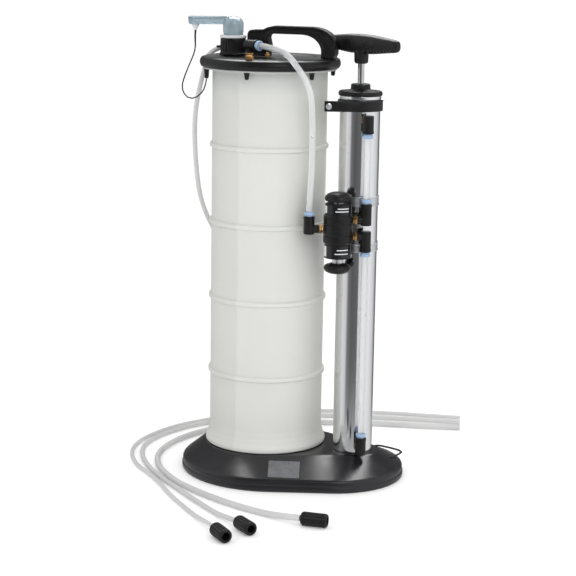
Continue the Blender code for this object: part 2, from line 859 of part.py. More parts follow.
def make_plunger():
    """The rod, piston and T-handle, which move up and down as one."""
    place = PUMP_X, 0, 0
    piston = [
        (0, 46.6),
        (24.4, 46.6),
        (24.4, 52.6),
        (23.2, 53.6),
        (23.2, 55.6),
        (24.4, 56.6),
        (24.4, 62.6),
        (ROD_BORE_R, 62.6),
        (ROD_BORE_R, 52.6),
        (0, 52.6),
    ]
    moving = [turned("piston", piston, "black_rubber", at=place, steps=20)]
    rod = [(0, 52.9), (ROD_R, 52.9), (ROD_R, 575.6), (0, 575.6)]
    moving.append(turned("piston_rod", rod, "chrome", at=place, steps=16))
    hub = [
        (0, 592.0),
        (8.0, 592.0),
        (9.6, 579.0),
        (9.2, 566.5),
        (7.6, 564.4),
        (ROD_BORE_R, 564.4),
        (ROD_BORE_R, 576.0),
        (0, 576.0),
    ]
    handle = turned("t_handle", hub, "black_plastic", at=place, steps=16)
    half = GRIP_HALF
    shape = [(0, -half), (6.0, -half), (8.0, -half + 2.5), (10.2, 26 - half), (12.4, -22), (13.0, 0)]
    shape += [(12.4, 22), (10.2, half - 26), (8.0, half - 2.5), (6.0, half), (0, half)]
    grip = turned("grip_core", shape, None, at=(PUMP_X, 0, GRIP_Z), steps=16)
    grip.scale = (1.0, 0.74, 1.0)
    along = heading(GRIP_HEADING)
    across = UP.cross(along)
    grip.rotation_euler = Matrix((UP, across, -along)).transposed().to_euler()
    combine(handle, grip, "UNION")
    moving.append(handle)
    moving_group("pump_stroke_axis", (PUMP_X, 0, 52.6), moving)


def make_strap():
    """The clamp round the cylinder's top, whose tails meet in front under one screw."""
    low, high = 503.0, 517.0
    ring = [(PUMP_R + GAP, low), (30.0, low), (30.0, high), (PUMP_R + GAP, high)]
    strap = turned("strap_clamp", ring, "black_plastic", at=(PUMP_X, 0, 0), steps=28)
    front = Vector((PUMP_X, 0, (low + high) / 2)) + heading(math.radians(-70)) * 28.6
    middle = front - VALVE_SIDE * 24.0
    tail = block("strap_tail", (48.0, 2.8, high - low), None, at=middle, rotation=(0, 0, VALVE_PORT_HEADING))
    combine(strap, tail, "UNION")
    outward = heading(math.radians(-70))
    seat = front - VALVE_SIDE * 42.0 + outward * (1.4 + GAP)
    head = [(0, 0), (4.2, 0), (4.0, 1.8), (2.4, 3.1), (0, 3.1)]
    turned("strap_screw", head, "zinc_steel", at=seat, direction=outward, steps=12)


# Spool valve


def make_valve():
    place = (*VALVE, 0)
    bore = SPOOL_R + GAP
    body = [
        (bore, 312.0),
        (VALVE_NECK_R, 312.0),
        (VALVE_NECK_R, 331.6),
        (VALVE_R - 1.2, 332.0),
        (VALVE_R, 333.4),
        (VALVE_R, 367.6),
        (VALVE_R - 1.2, 369.0),
        (VALVE_NECK_R, 369.4),
        (VALVE_NECK_R, 384.5),
        (bore, 384.5),
    ]
    turned("valve_body", body, "black_plastic", at=place, steps=24)
    waist = SPOOL_R - 1.6
    spool = [(0, 305.0), (SPOOL_R, 305.0), (SPOOL_R, 330.0), (waist, 332.0), (waist, 343.0)]
    spool += [(SPOOL_R, 345.0), (SPOOL_R, 354.0), (waist, 356.0), (waist, 366.0), (SPOOL_R, 368.0)]
    spool += [(SPOOL_R, 386.3), (0, 386.3)]
    moving = [turned("valve_spool", spool, "zinc_steel", at=place, steps=16)]
    lower = [(0, 290.0), (11.0, 290.8), (KNOB_R - 1.8, 294.0), (KNOB_R, 298.4)]
    lower += [(KNOB_R - 2.0, 302.6), (9.0, 304.7), (0, 304.7)]
    moving.append(turned("valve_knob_bottom", lower, "black_plastic", at=place, steps=20))
    upper = [(0, 386.6), (9.0, 386.6), (KNOB_R - 1.6, 387.6), (KNOB_R, 391.2)]
    upper += [(KNOB_R - 2.6, 396.0), (11.0, 398.8), (0, 399.6)]
    moving.append(turned("valve_knob_top", upper, "black_plastic", at=place, steps=20))
    moving_group("valve_shift_axis", (*VALVE, 345), moving)


def make_valve_mounting():
    """A saddle between the valve and the pump's cylinder, and the two bands round the cylinder."""
    towards = Vector((VALVE[0] - PUMP_X, VALVE[1], 0)).normalized()
    turn = math.atan2(towards.y, towards.x)
    middle = Vector((PUMP_X, 0, 350.5)) + towards * 29.0
    saddle = block("valve_saddle", (18, 25, 31), "black_plastic", at=middle, rotation=(0, 0, turn))
    for name, centre, radius in (
        ("saddle_pump_cutter", (PUMP_X, 0, 350), PUMP_R + GAP),
        ("saddle_valve_cutter", (*VALVE, 350), VALVE_R + GAP),
    ):
        plug = [(0, -40), (radius, -40), (radius, 40), (0, 40)]
        combine(saddle, turned(name, plug, None, at=centre, steps=48), "DIFFERENCE")
    inner, outer = PUMP_R + GAP, PUMP_R + GAP + 1.2
    for name, low, high in (("band_upper", 377.0, 390.0), ("band_lower", 316.0, 328.0)):
        band = [(inner, low), (outer, low), (outer, high), (inner, high)]
        turned(name, band, "zinc_steel", at=(PUMP_X, 0, 0), steps=28)


def main():
    clear_scene()
    make_base()
    make_label()
    make_reservoir()
    make_lid()
    make_lid_screws()
    make_lid_vent()
    make_carry_handle()
    make_spout()
    make_spout_cap()
    tube("cap_tether", TETHER_ROUTE, TETHER_R, "black_rubber", 5.4)
    make_float_valve()
    make_pickup_tube()
    for name, facts in FITTINGS.items():
        make_fitting(name, *facts)
    make_clear_tubes()
    make_main_hose()
    make_suction_tubes()
    make_pump_cylinder()
    make_plunger()
    make_strap()
    make_valve()
    make_valve_mounting()


main()
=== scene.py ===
import json
import math

import bmesh
import bpy
from mathutils import Euler, Matrix, Vector


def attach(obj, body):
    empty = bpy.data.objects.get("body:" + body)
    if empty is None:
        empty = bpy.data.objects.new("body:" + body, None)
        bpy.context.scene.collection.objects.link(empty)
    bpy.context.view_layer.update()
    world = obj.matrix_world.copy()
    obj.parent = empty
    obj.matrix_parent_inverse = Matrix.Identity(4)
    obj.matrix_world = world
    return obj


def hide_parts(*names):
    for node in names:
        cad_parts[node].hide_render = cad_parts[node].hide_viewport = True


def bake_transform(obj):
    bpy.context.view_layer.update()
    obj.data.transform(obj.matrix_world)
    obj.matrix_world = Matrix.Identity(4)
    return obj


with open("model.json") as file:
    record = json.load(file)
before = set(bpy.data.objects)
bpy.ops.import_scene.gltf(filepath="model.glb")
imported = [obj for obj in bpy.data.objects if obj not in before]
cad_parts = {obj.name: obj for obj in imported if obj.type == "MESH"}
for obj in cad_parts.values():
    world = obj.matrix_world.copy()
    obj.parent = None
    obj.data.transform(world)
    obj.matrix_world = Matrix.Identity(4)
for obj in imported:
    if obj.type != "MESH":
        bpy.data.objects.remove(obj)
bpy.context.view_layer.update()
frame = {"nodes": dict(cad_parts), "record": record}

MM = 0.001
UP, DOWN = Vector((0, 0, 1)), Vector((0, 0, -1))
ORIGIN = (0, 0, 0)

# Lengths are in millimetres from here on, in the frame's own axes.
TANK = (-41.0, 0.0)
TANK_R = 77.5
LID_TOP = 569.0
LID_SEAT = LID_TOP + 0.3  # where fittings rest, clear of the lid
PUMP = (87.0, 0.0)
PUMP_R = 26.7
VALVE = (76.4, -50.0)
NECK = (-95.0, 0.0)
HOSE_PORT = (-103.5, 23.5)
HOSE_R = 3.2
TUBE_R = 4.0
COIL_CENTRE = (-73.0, 163.0)
COIL_RADII = (28.8, 35.2)
COIL_MID_R = 32.0
COIL_HEIGHTS = (3.9, 10.4)
LEVER_TURN = math.radians(200)
TETHERED_SCREW = 5


def heading(degrees):
    turn = math.radians(degrees)
    return Vector((math.cos(turn), math.sin(turn), 0.0))


VALVE_SIDE = heading(20)
PORT_SIDE = heading(-57)


# Camera, at the photograph's angle


def make_camera():
    azimuth, elevation, roll = math.radians(20.01), math.radians(11.377), math.radians(0.9175)
    back = Vector((
        math.sin(azimuth) * math.cos(elevation),
        -math.cos(azimuth) * math.cos(elevation),
        math.sin(elevation),
    ))
    level = Vector((math.cos(azimuth), math.sin(azimuth), 0.0))
    upright = back.cross(level)
    right = level * math.cos(roll) + upright * math.sin(roll)
    data = bpy.data.cameras.new("camera")
    data.sensor_width = 36.0
    data.lens = 108.55
    data.clip_start = 0.05
    data.clip_end = 200.0
    camera = bpy.data.objects.new("camera", data)
    turned_to = Matrix((right, back.cross(right), back)).transposed().to_4x4()
    camera.matrix_world = Matrix.Translation((0.7884, -2.1942, 0.7243)) @ turned_to
    bpy.context.scene.collection.objects.link(camera)
    bpy.context.scene.camera = camera


make_camera()


# Materials


class Nodes:
    """A new node material, with short calls to add and join its nodes."""

    def __init__(self, name):
        self.material = bpy.data.materials.new(name)
        self.material.use_nodes = True
        self.tree = self.material.node_tree
        self.shader = self.tree.nodes["Principled BSDF"]

    def add(self, kind, **settings):
        node = self.tree.nodes.new(kind)
        for key, value in settings.items():
            if key in node.inputs:
                node.inputs[key].default_value = value
            else:
                setattr(node, key, value)
        return node

    def join(self, source, target):
        self.tree.links.new(source, target)

    def place(self, scale=(1, 1, 1)):
        """Object coordinates, stretched."""
        where = self.add("ShaderNodeTexCoord")
        stretch = self.add("ShaderNodeMapping")
        stretch.inputs["Scale"].default_value = scale
        self.join(where.outputs["Object"], stretch.inputs["Vector"])
        return stretch.outputs["Vector"]

    def noise(self, scale, detail=3.0, stretch=(1, 1, 1)):
        node = self.add("ShaderNodeTexNoise", Scale=scale, Detail=detail)
        self.join(self.place(stretch), node.inputs["Vector"])
        return node.outputs["Fac"]

    def ramp(self, source, stops):
        """stops are (position, value) pairs, or (position, colour)."""
        node = self.add("ShaderNodeValToRGB")
        elements = node.color_ramp.elements
        while len(elements) < len(stops):
            elements.new(0.5)
        for element, (position, value) in zip(elements, stops):
            colour = value if isinstance(value, tuple) else (value, value, value)
            element.position = position
            element.color = (*colour, 1.0)
        self.join(source, node.inputs["Fac"])
        return node.outputs["Color"]

    def bump(self, source, distance, strength=1.0, below=None):
        node = self.add("ShaderNodeBump", Strength=strength, Distance=distance)
        self.join(source, node.inputs["Height"])
        if below is not None:
            self.join(below, node.inputs["Normal"])
        return node.outputs["Normal"]

    def set(self, **values):
        for key, value in values.items():
            self.shader.inputs[key.replace("_", " ")].default_value = value


def surface(name, dark, light, rough, grain=None, patch=40.0, stretch=(1, 1, 1), **values):
    """A finish whose colour and roughness drift, with a fine grain = (scale, depth in mm)."""
    made = Nodes(name)
    drift = made.noise(patch, 4.0, stretch)
    made.join(made.ramp(drift, [(0.3, dark), (0.7, light)]), made.shader.inputs["Base Color"])
    wear = made.noise(patch * 3.1, 5.0, stretch)
    made.join(made.ramp(wear, [(0.3, rough[0]), (0.7, rough[1])]), made.shader.inputs["Roughness"])
    if grain:
        fine = made.noise(grain[0], 2.0, stretch)
        made.join(made.bump(fine, grain[1] * MM), made.shader.inputs["Normal"])
    made.set(**values)
    return made.material


def tank_surface():
    """Frosted polyethylene, with painted shade: darker under the lid and in a strip on one side of the mould
    line.
    """
    made = Nodes("tank_plastic")
    where = made.add("ShaderNodeTexCoord")
    parts = made.add("ShaderNodeSeparateXYZ")
    made.join(where.outputs["Object"], parts.inputs["Vector"])
    drift = made.noise(9.0, 4.0)
    body = made.ramp(drift, [(0.3, (0.655, 0.659, 0.626)), (0.7, (0.686, 0.690, 0.659))])
    height = made.add("ShaderNodeMapRange")
    height.inputs["From Min"].default_value = 0.44
    height.inputs["From Max"].default_value = 0.555
    made.join(parts.outputs["Z"], height.inputs["Value"])
    # Painted shade: the colour darkens towards the top, under the lid.
    painted_lid_shade = made.ramp(
        height.outputs["Result"],
        [(0.0, (1.0, 1.0, 1.0)), (0.72, (0.93, 0.935, 0.94)), (1.0, (0.66, 0.68, 0.69))],
    )
    mixed = made.add("ShaderNodeMix", data_type="RGBA", blend_type="MULTIPLY")
    mixed.inputs[0].default_value = 1.0
    made.join(body, mixed.inputs[6])
    made.join(painted_lid_shade, mixed.inputs[7])
    around = made.add("ShaderNodeMath", operation="ARCTAN2")
    made.join(parts.outputs["Y"], around.inputs[0])
    made.join(parts.outputs["X"], around.inputs[1])
    strip = made.add("ShaderNodeMapRange")
    strip.inputs["From Min"].default_value = -math.pi
    strip.inputs["From Max"].default_value = math.pi
    made.join(around.outputs["Value"], strip.inputs["Value"])
    seam = (-101.1 + 180) / 360
    # Painted shade: a darker strip on one side of the mould line, a little darker all round.
    sides = made.ramp(
        strip.outputs["Result"],
        [
            (0.0, (0.975,) * 3), (seam - 0.09, (0.90, 0.905, 0.90)), (seam - 0.004, (0.925,) * 3),
            (seam + 0.002, (1.0,) * 3), (1.0, (0.975,) * 3),
        ],
    )
    painted_shade = made.add("ShaderNodeMix", data_type="RGBA", blend_type="MULTIPLY")
    painted_shade.inputs[0].default_value = 1.0
    made.join(mixed.outputs[2], painted_shade.inputs[6])
    made.join(sides, painted_shade.inputs[7])
    made.join(painted_shade.outputs[2], made.shader.inputs["Base Color"])
    wear = made.noise(28.0, 5.0)
    made.join(made.ramp(wear, [(0.3, 0.42), (0.7, 0.56)]), made.shader.inputs["Roughness"])
    fine = made.noise(420, 2.0)
    made.join(made.bump(fine, 0.08 * MM), made.shader.inputs["Normal"])
    made.set(Subsurface_Weight=0.2, Subsurface_Radius=(1.0, 1.0, 1.0), Subsurface_Scale=0.006)
    return made.material


ALONG_Z = (1.0, 1.0, 0.02)
DULL = {"Specular_IOR_Level": 0.28}
MATERIALS = {
    "black_plastic": surface(
        "black_plastic", (0.006, 0.006, 0.006), (0.012, 0.012, 0.013), (0.26, 0.40), (1900, 0.06), **DULL
    ),
    "base_plastic": surface(
        "base_plastic", (0.009, 0.009, 0.010), (0.014, 0.014, 0.016), (0.20, 0.27), (2200, 0.03), 14.0,
        Specular_IOR_Level=0.5
    ),
    "valve_film": surface(
        "valve_film", (0.006, 0.006, 0.007), (0.010, 0.010, 0.011), (0.14, 0.22), (700, 0.01), 90.0
    ),
    "label_film": surface(
        "label_film", (0.120, 0.122, 0.132), (0.165, 0.168, 0.180), (0.26, 0.34), (700, 0.02), 90.0
    ),
    "tank_plastic": tank_surface(),
    "clear_tube": surface(
        "clear_tube", (0.880, 0.890, 0.900), (0.940, 0.950, 0.955), (0.26, 0.36), (45, 0.05), 14.0,
        Transmission_Weight=0.62, IOR=1.16, Specular_IOR_Level=0.6
    ),
    "hose_plastic": surface(
        "hose_plastic", (0.620, 0.620, 0.620), (0.700, 0.700, 0.698), (0.40, 0.52), (260, 0.04), 12.0,
        Transmission_Weight=0.12, IOR=1.30, Specular_IOR_Level=0.35
    ),
    "clear_cap": surface(
        "clear_cap", (0.400, 0.500, 0.560), (0.490, 0.600, 0.660), (0.10, 0.20), (300, 0.05), 60.0,
        Transmission_Weight=0.45, IOR=1.42, Coat_Weight=0.4
    ),
    "white_rubber": surface(
        "white_rubber", (0.640, 0.655, 0.670), (0.730, 0.740, 0.750), (0.42, 0.56), (900, 0.05)
    ),
    "black_rubber": surface(
        "black_rubber", (0.006, 0.006, 0.006), (0.012, 0.012, 0.012), (0.40, 0.54), (1300, 0.09), **DULL
    ),
    "blue_plastic": surface(
        "blue_plastic", (0.270, 0.400, 0.600), (0.350, 0.480, 0.690), (0.26, 0.36), (1200, 0.04)
    ),
    "brass": surface(
        "brass", (0.330, 0.180, 0.060), (0.520, 0.320, 0.130), (0.24, 0.40), (1600, 0.04), Metallic=1.0
    ),
    "polished_aluminium": surface(
        "polished_aluminium", (0.780, 0.785, 0.795), (0.880, 0.882, 0.890), (0.07, 0.12), (500, 0.008),
        60.0, ALONG_Z, Metallic=1.0
    ),
    "chrome": surface(
        "chrome", (0.600, 0.605, 0.615), (0.700, 0.705, 0.715), (0.07, 0.14), (900, 0.01), 60.0, ALONG_Z,
        Metallic=1.0
    ),
    "zinc_steel": surface(
        "zinc_steel", (0.620, 0.635, 0.660), (0.760, 0.775, 0.800), (0.24, 0.40), (1000, 0.04), Metallic=1.0
    ),
}


# Building in millimetres


def mesh_object(name, bm, at=ORIGIN, rotation=None, sharp=38):
    bmesh.ops.scale(bm, vec=(MM, MM, MM), verts=bm.verts)
    bmesh.ops.recalc_face_normals(bm, faces=bm.faces)
    if rotation is not None:
        bm.transform(Euler(rotation).to_matrix().to_4x4())
    mesh = bpy.data.meshes.new(name)
    bm.to_mesh(mesh)
    bm.free()
    mesh.shade_smooth()
    mesh.set_sharp_from_angle(angle=math.radians(sharp))
    made = bpy.data.objects.new(name, mesh)
    made.location = Vector(at) * MM
    bpy.context.scene.collection.objects.link(made)
    return made


def bake(piece, sharp=38):
    """Replaces a piece's modifiers by the mesh that they make."""
    bpy.context.view_layer.update()
    graph = bpy.context.evaluated_depsgraph_get()
    mesh = bpy.data.meshes.new_from_object(piece.evaluated_get(graph))
    piece.modifiers.clear()
    piece.data = mesh
    mesh.shade_smooth()
    mesh.set_sharp_from_angle(angle=math.radians(sharp))
    return piece


def combine(target, operation, *others):
    for other in others:
        modifier = target.modifiers.new(other.name, "BOOLEAN")
        modifier.operation = operation
        modifier.solver = "EXACT"
        modifier.object = other
    bake(target)
    for other in others:
        bpy.data.objects.remove(other, do_unlink=True)
    return target


def fillet(outline, radius, count=4, closed=False):
    """The outline with its corners rounded. Points on the turning axis stay."""
    points = [Vector(point) for point in outline]
    made = []
    for index, point in enumerate(points):
        ends = index in (0, len(points) - 1) and not closed
        if ends:
            made.append(point)
            continue
        before, after = points[index - 1], points[(index + 1) % len(points)]
        back, on = before - point, after - point
        reach = min(radius, 0.45 * back.length, 0.45 * on.length)
        start, end = point + back.normalized() * reach, point + on.normalized() * reach
        for step in range(count + 1):
            share = step / count
            made.append(start.lerp(point, share).lerp(point.lerp(end, share), share))
    return made


def braced(points, closed):
    """The outline with points added near the ends of long stretches, to keep their shading straight."""
    made = []
    following = [*points[1:], points[0]] if closed else [*points[1:], None]
    for start, end in zip(points, following):
        made.append(start)
        if end is not None and (end - start).length > 4.0:
            share = 0.7 / (end - start).length
            made += [start.lerp(end, share), end.lerp(start, share)]
    return made


def turned(name, profile, at=ORIGIN, direction=UP, steps=72, soft=0.5, flute=None, sharp=38):
    """A turned piece. profile holds (radius, height) pairs, and flute = (depth, low, high, every)."""
    whole = profile[0][0] > 0 and profile[-1][0] > 0
    bm = bmesh.new()
    rings = []
    rounded = fillet(profile, soft, closed=whole) if soft else [Vector(point) for point in profile]
    for radius, height in braced(rounded, whole):
        if radius < 1e-6:
            rings.append([bm.verts.new((0.0, 0.0, height))])
            continue
        ring = []
        for step in range(steps):
            turn = 2 * math.pi * step / steps
            reach = radius
            if flute and flute[1] <= height <= flute[2]:
                reach -= flute[0] * (0.5 - 0.5 * math.cos(2 * math.pi * step / flute[3]))
            ring.append(bm.verts.new((reach * math.cos(turn), reach * math.sin(turn), height)))
        rings.append(ring)
    pairs = list(zip(rings, rings[1:]))
    if whole:
        pairs.append((rings[-1], rings[0]))
    for lower, upper in pairs:
        for step in range(steps):
            after = (step + 1) % steps
            corners = [lower[step % len(lower)], lower[after % len(lower)]]
            corners += [upper[after % len(upper)], upper[step % len(upper)]]
            bm.faces.new(list(dict.fromkeys(corners)))
    rotation = UP.rotation_difference(Vector(direction)).to_euler()
    return mesh_object(name, bm, at, rotation, sharp)


def block(name, size, at=ORIGIN, rotation=None, bevel=0.0):
    bm = bmesh.new()
    bmesh.ops.create_cube(bm, size=1.0)
    bmesh.ops.scale(bm, vec=size, verts=bm.verts)
    if bevel:
        bmesh.ops.bevel(bm, geom=bm.edges[:], offset=bevel, segments=3, profile=0.5, affect="EDGES")
    return mesh_object(name, bm, at, rotation)


def arc(centre, radii, start, end, count):
    points = []
    for index in range(count):
        turn = math.radians(start + (end - start) * index / (count - 1))
        points.append((centre[0] + radii[0] * math.cos(turn), centre[1] + radii[1] * math.sin(turn)))
    return points


def upright_plate(name, outline, half_depth, at=ORIGIN, turn=0.0, groove=None, bevel=1.5):
    """An outline of (x, z) points, given a depth along Y. groove = (margin, depth) sinks both faces."""
    bm = bmesh.new()
    sides = [[bm.verts.new((x, depth, z)) for x, z in outline] for depth in (-half_depth, half_depth)]
    faces = [bm.faces.new(side) for side in sides]
    for index in range(len(outline)):
        after = (index + 1) % len(outline)
        bm.faces.new((sides[0][index], sides[0][after], sides[1][after], sides[1][index]))
    if groove:
        bmesh.ops.recalc_face_normals(bm, faces=bm.faces)
        bmesh.ops.inset_region(bm, faces=faces, thickness=groove[0], depth=-0.001)
        bmesh.ops.inset_region(bm, faces=faces, thickness=0.6, depth=-groove[1])
    plate = mesh_object(name, bm, at, (0, 0, turn))
    edges = plate.modifiers.new("edge rounding", "BEVEL")
    edges.width = bevel * MM
    edges.segments = 3
    edges.limit_method = "ANGLE"
    edges.angle_limit = math.radians(35)
    return bake(plate)


def smooth_route(route, spacing):
    """Points about that far apart on a Catmull-Rom curve through the route's points."""
    points = [Vector(point) for point in route]
    ends = [2 * points[0] - points[1], *points, 2 * points[-1] - points[-2]]
    fine = []
    for before, start, end, after in zip(ends, ends[1:], ends[2:], ends[3:]):
        for index in range(24):
            t = index / 24
            bend = 2 * before - 5 * start + 4 * end - after
            twist = 3 * start - before - 3 * end + after
            fine.append((2 * start + (end - before) * t + bend * t * t + twist * t ** 3) / 2)
    fine.append(points[-1])
    lengths = [(b - a).length for a, b in zip(fine, fine[1:])]
    count = max(2, round(sum(lengths) / spacing))
    kept, walked = [fine[0]], 0.0
    for start, end, length in zip(fine, fine[1:], lengths):
        while len(kept) < count and walked + length >= sum(lengths) * len(kept) / count:
            kept.append(start.lerp(end, (sum(lengths) * len(kept) / count - walked) / length))
        walked += length
    return [*kept, fine[-1]]


def round_bar(name, points, radius, sides=6):
    """A curve of one smooth spline through the points, as thick as the radius."""
    curve = bpy.data.curves.new(name, "CURVE")
    curve.dimensions = "3D"
    curve.bevel_depth = radius * MM
    curve.bevel_resolution = sides
    curve.resolution_u = 6
    curve.use_fill_caps = True
    spline = curve.splines.new("BEZIER")
    spline.bezier_points.add(len(points) - 1)
    for target, point in zip(spline.bezier_points, points):
        target.co = Vector(point) * MM
        target.handle_left_type = target.handle_right_type = "AUTO"
    made = bpy.data.objects.new(name, curve)
    bpy.context.scene.collection.objects.link(made)
    return made


def put(piece, slot, body, *nodes, finish=None):
    """Finishes a piece in a slot's material, and fixes it to a body in place of the nodes."""
    piece.data.materials.clear()
    piece.data.materials.append(MATERIALS[finish or slot])
    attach(piece, body)
    if nodes:
        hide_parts(*nodes)
    return piece


# Cords: the hose that ends coiled behind the base, the loose suction tubes and the cap's tether

HOSE_ROUTE = [
    (-121.4, 21.3, 578.0), (-127, 20.6, 577.6), (-134, 19, 572.5), (-139, 17, 564), (-141, 13, 552),
    (-142.5, 8, 539), (-147, 0, 508), (-149, -4, 472), (-149, 0, 424), (-147, 8, 381),
    (-142.5, 18, 351), (-137, 29, 330), (-129, 44, 306), (-117, 61, 276), (-101, 76, 240),
    (-84, 88, 195), (-70, 96, 148), (-57, 106, 98), (-46, 119, 52), (-39, 131, 21),
    (-36.2, 141, 7.8), (-36.0, 149, 4.6),
]


def coil_route():
    """Four turns, outside to inside on the floor and back out on top, as (degrees, radius, height)."""
    inner, outer = COIL_RADII
    low, high = COIL_HEIGHTS
    marks = [
        (-8, outer, low), (240, outer, low), (330, inner, low), (570, inner, low), (640, inner, high),
        (960, inner, high), (1050, outer, high), (1160, outer, high), (1220, outer, 19.5),
        (1232, outer, 20.3),
    ]
    points = []
    for (start, r_start, z_start), (end, r_end, z_end) in zip(marks, marks[1:]):
        count = max(1, round((end - start) / 20))
        for index in range(count):
            share = index / count
            ease = share * share * (3 - 2 * share)
            spot = Vector((*COIL_CENTRE, z_start + (z_end - z_start) * ease))
            points.append(
                spot + heading(start + (end - start) * share) * (r_start + (r_end - r_start) * ease),
            )
    return points


def make_main_hose():
    route = [*smooth_route(HOSE_ROUTE, 22), *coil_route()]
    route += [Vector((-105.6, 186, 20.4)), Vector((-105.0, 180.6, 20.4))]
    hose = round_bar("hose_and_coil", route, HOSE_R)
    put(hose, "clear_tube", "frame", "main_hose", "hose_coil", finish="hose_plastic")
    back = (COIL_CENTRE[0] - COIL_MID_R, COIL_CENTRE[1], 20.4)
    shell = [(0, -17), (6.0, -17), (7.0, -14.5), (7.0, 15.5), (6.2, 17), (3.4, 17), (3.4, 8), (0, 8)]
    end = turned("hose_end_connector", shell, back, (0, -1, 0), 60, 0.6, (0.5, -14, 15, 5))
    put(end, "black_rubber", "frame", "hose_connector")
    tie_at = Vector((*COIL_CENTRE, (COIL_HEIGHTS[0] + COIL_HEIGHTS[1]) / 2)) + heading(62) * COIL_MID_R
    loop = []
    for x, z in fillet([(-7.1, -6.5), (7.1, -6.5), (7.1, 6.9), (-7.1, 6.9)], 3.4, 3, closed=True):
        loop.append(tie_at + heading(62) * x + UP * z)
    tails = [loop[0] + heading(152) * -1.4, *loop, loop[0] + heading(152) * 1.4]
    tie = put(round_bar("coil_tie", tails, 0.55, 3), "black_rubber", "frame")


SUCTION_TUBES = {
    "left": (2.75, (21.3, -315.4), -44.6, 0.98, [
        (154, 333), (109, 325), (64, 317), (15, 306), (-42, 291), (-90, 270), (-131, 245), (-166, 212),
        (-200, 166), (-223, 128), (-238, 84), (-245, 37), (-240, -7), (-226, -43), (-201, -81),
        (-173, -109), (-146, -136), (-119, -168), (-97, -194), (-71, -221), (-42, -250), (-18, -274, 6.0),
    ]),
    "middle": (3.25, (38.7, -278.9), -39.6, 0.93, [
        (161, 305), (115, 297), (70, 288), (30, 279), (-20, 266), (-78, 244), (-140, 206), (-190, 154),
        (-214, 112), (-228, 66), (-231, 24), (-223, -14), (-208, -46), (-190, -73), (-171, -97),
        (-143, -126), (-108, -157), (-77, -185), (-49, -209), (-20, -233), (-1, -249, 5.8),
    ]),
    "right": (4.0, (111.5, -225.3), 3.4, 0.91, [
        (169, 275), (124, 263), (80, 253), (40, 244), (-6, 228), (-28, 220), (-63, 214), (-103, 200),
        (-139, 168), (-174, 114), (-190, 74), (-197, 34), (-196, -8), (-186, -44), (-168, -79),
        (-146, -107), (-118, -134), (-79, -161), (-37, -184), (2, -201), (40, -213), (62, -220.5, 6.6),
    ]),
}


def make_suction_tubes():
    half = 17.0
    profile = [(0, -half), (7.0, -half), (9.0, -half + 2.6), (9.0, half - 2.4), (7.8, half)]
    profile += [(5.2, half), (5.2, half - 13), (0, half - 13)]
    for side, (radius, centre, turn, length, floor_route) in SUCTION_TUBES.items():
        along = heading(turn)
        middle = Vector((*centre, 9.1))
        rest = radius + 0.4
        route = [point if len(point) == 3 else (*point, rest) for point in floor_route]
        route += [middle - along * (half + reach) for reach in (15.0, 1.2)]
        route = smooth_route(route[::-1], 30)
        tube = round_bar(f"{side}_tube", route, radius)
        put(tube, "clear_tube", "frame", f"{side}_suction_tube", finish="hose_plastic")
        shell = turned(f"{side}_tube_end", profile, middle, along, 96, 0.7, (0.9, -half + 2.2, half - 2.0, 6))
        put(shell, "black_rubber", "frame", f"{side}_connector")


TETHER_ROUTE = [
    (-142.9, -17.4, 601.3), (-142.6, -19.3, 594), (-140.5, -25, 575), (-145.5, -33, 555),
    (-149, -39, 541), (-150, -45, 529), (-146, -49, 519), (-136, -51, 512.5), (-125, -48.5, 516),
    (-118, -45, 526), (-115.6, -43.1, 538.9),
]


def make_tether():
    points = smooth_route(TETHER_ROUTE, 7)
    bm = bmesh.new()
    rings = []
    sides = 10
    for index, point in enumerate(points):
        ahead = points[min(index + 1, len(points) - 1)] - points[max(index - 1, 0)]
        turn = UP.rotation_difference(ahead).to_matrix()
        thick = 0.9 + 0.5 * max(0.0, 1 - index / 4)
        ring = []
        for side in range(sides):
            ring.append(bm.verts.new(point + turn @ (heading(360 * side / sides) * thick)))
        rings.append(ring)
    for lower, upper in zip(rings, rings[1:]):
        for side in range(sides):
            after = (side + 1) % sides
            bm.faces.new((lower[side], lower[after], upper[after], upper[side]))
    bm.faces.new(rings[0])
    bm.faces.new(rings[-1])
    tether = mesh_object("tether_cord", bm)
    tether.data.materials.append(MATERIALS["black_rubber"])
    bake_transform(tether)
    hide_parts("cap_tether")


make_main_hose()
make_suction_tubes()
make_tether()


# Base

RIM = (-30.0, 126.0, 57.0, 99.0)
DECK = (-41.0, 85.0, 87.0, 34.0)


def base_outline(share, inset):
    """Points round two circles, share of the way from the rim's outline to the deck's."""
    left_x, left_r, right_x, right_r = (a + (b - a) * share for a, b in zip(RIM, DECK))
    left_r -= inset
    right_r -= inset
    tangent = math.acos((left_r - right_r) / (right_x - left_x))
    points = []
    for index in range(41):
        turn = -tangent + 2 * tangent * index / 40
        points.append((right_x + right_r * math.cos(turn), right_r * math.sin(turn)))
    far_side = []
    for index in range(81):
        turn = tangent + 2 * (math.pi - tangent) * index / 80
        far_side.append((left_x + left_r * math.cos(turn), left_r * math.sin(turn)))
    for start, end, more in ((points[-1], far_side[0], far_side), (far_side[-1], points[0], [])):
        for index in range(1, 8):
            points.append(tuple(a + (b - a) * index / 8 for a, b in zip(start, end)))
        points += more
    return points


